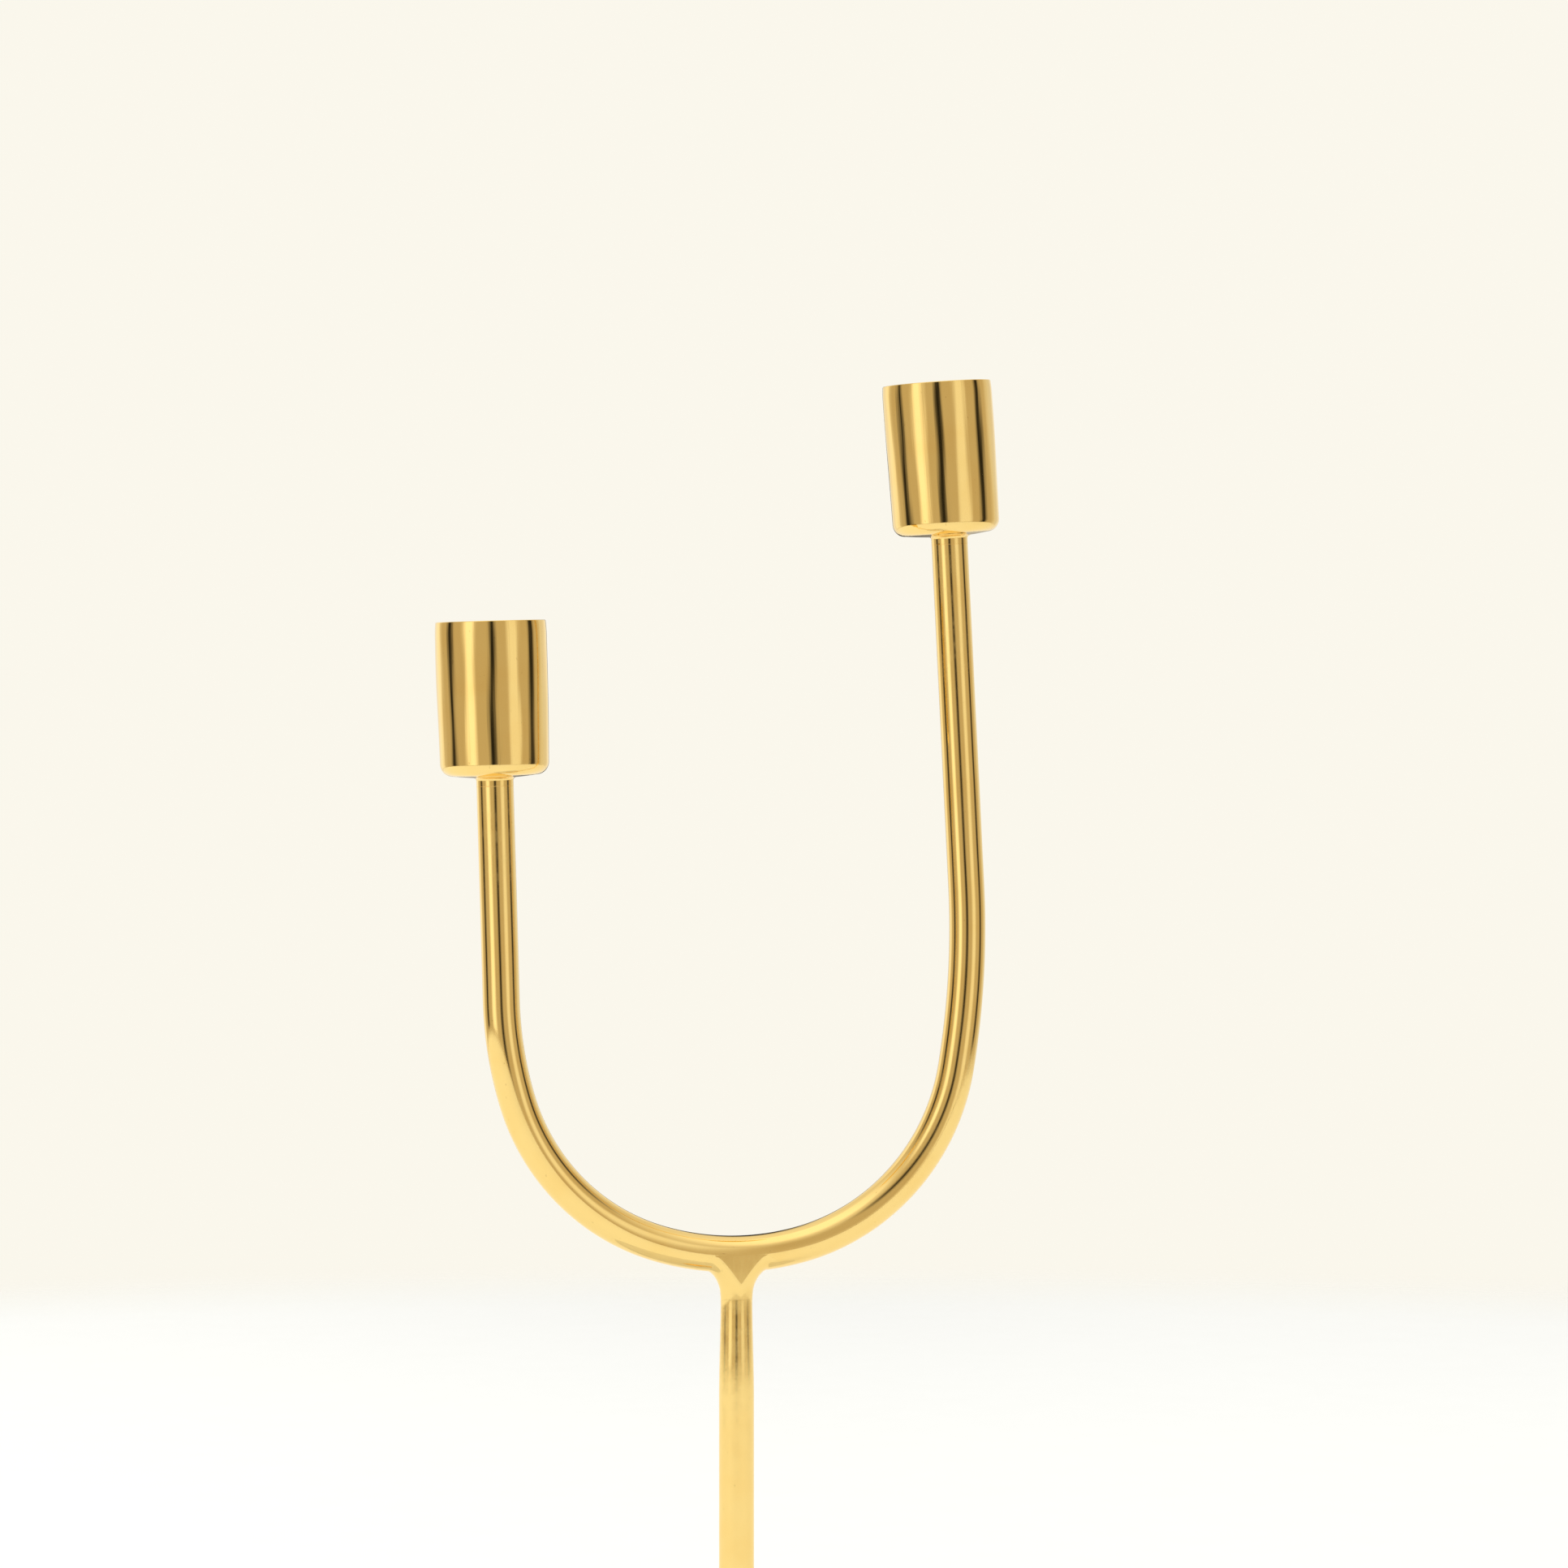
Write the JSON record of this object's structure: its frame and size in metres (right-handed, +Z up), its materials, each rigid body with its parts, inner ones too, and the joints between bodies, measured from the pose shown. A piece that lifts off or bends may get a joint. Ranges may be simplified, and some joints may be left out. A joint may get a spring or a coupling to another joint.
{
  "type": "tabletop candelabra",
  "caption": "Brass candelabra: a slim stem on a round marble base carries a rod bent into a U, with a low and a high cylindrical candle cup.",
  "frame": {"origin": "centre of the felt's underside, on the table and on the stem's axis", "axes": "+Z up along the stem, X in the plane of the U with the low cup at -X and the high cup at +X, +Y to the back"},
  "size_m": [0.1332, 0.104, 0.3068],
  "materials": {
    "polished_brass": "hand-polished, mirror bright",
    "brazed_brass": "brazed and dressed smooth",
    "plain_brass": "turned, slightly dull",
    "zinc_steel": "bright zinc plated",
    "white_marble": "opaque white marble, honed and waxed, faint grey veins",
    "felt": "dense dark felt"
  },
  "bodies": {
    "root": {"felt_pad": "felt", "marble_base": "white_marble", "base_washer": "zinc_steel", "base_spring_washer": "zinc_steel", "base_nut": "zinc_steel", "stem_ferrule": "polished_brass", "stem": "polished_brass", "saddle": "brazed_brass", "arm": "polished_brass", "left_collar": "brazed_brass", "left_cup": "polished_brass", "left_cup_spring_washer": "zinc_steel", "left_cup_screw": "plain_brass", "right_collar": "brazed_brass", "right_cup": "polished_brass", "right_cup_spring_washer": "zinc_steel", "right_cup_screw": "plain_brass"}
  },
  "joints": []
}
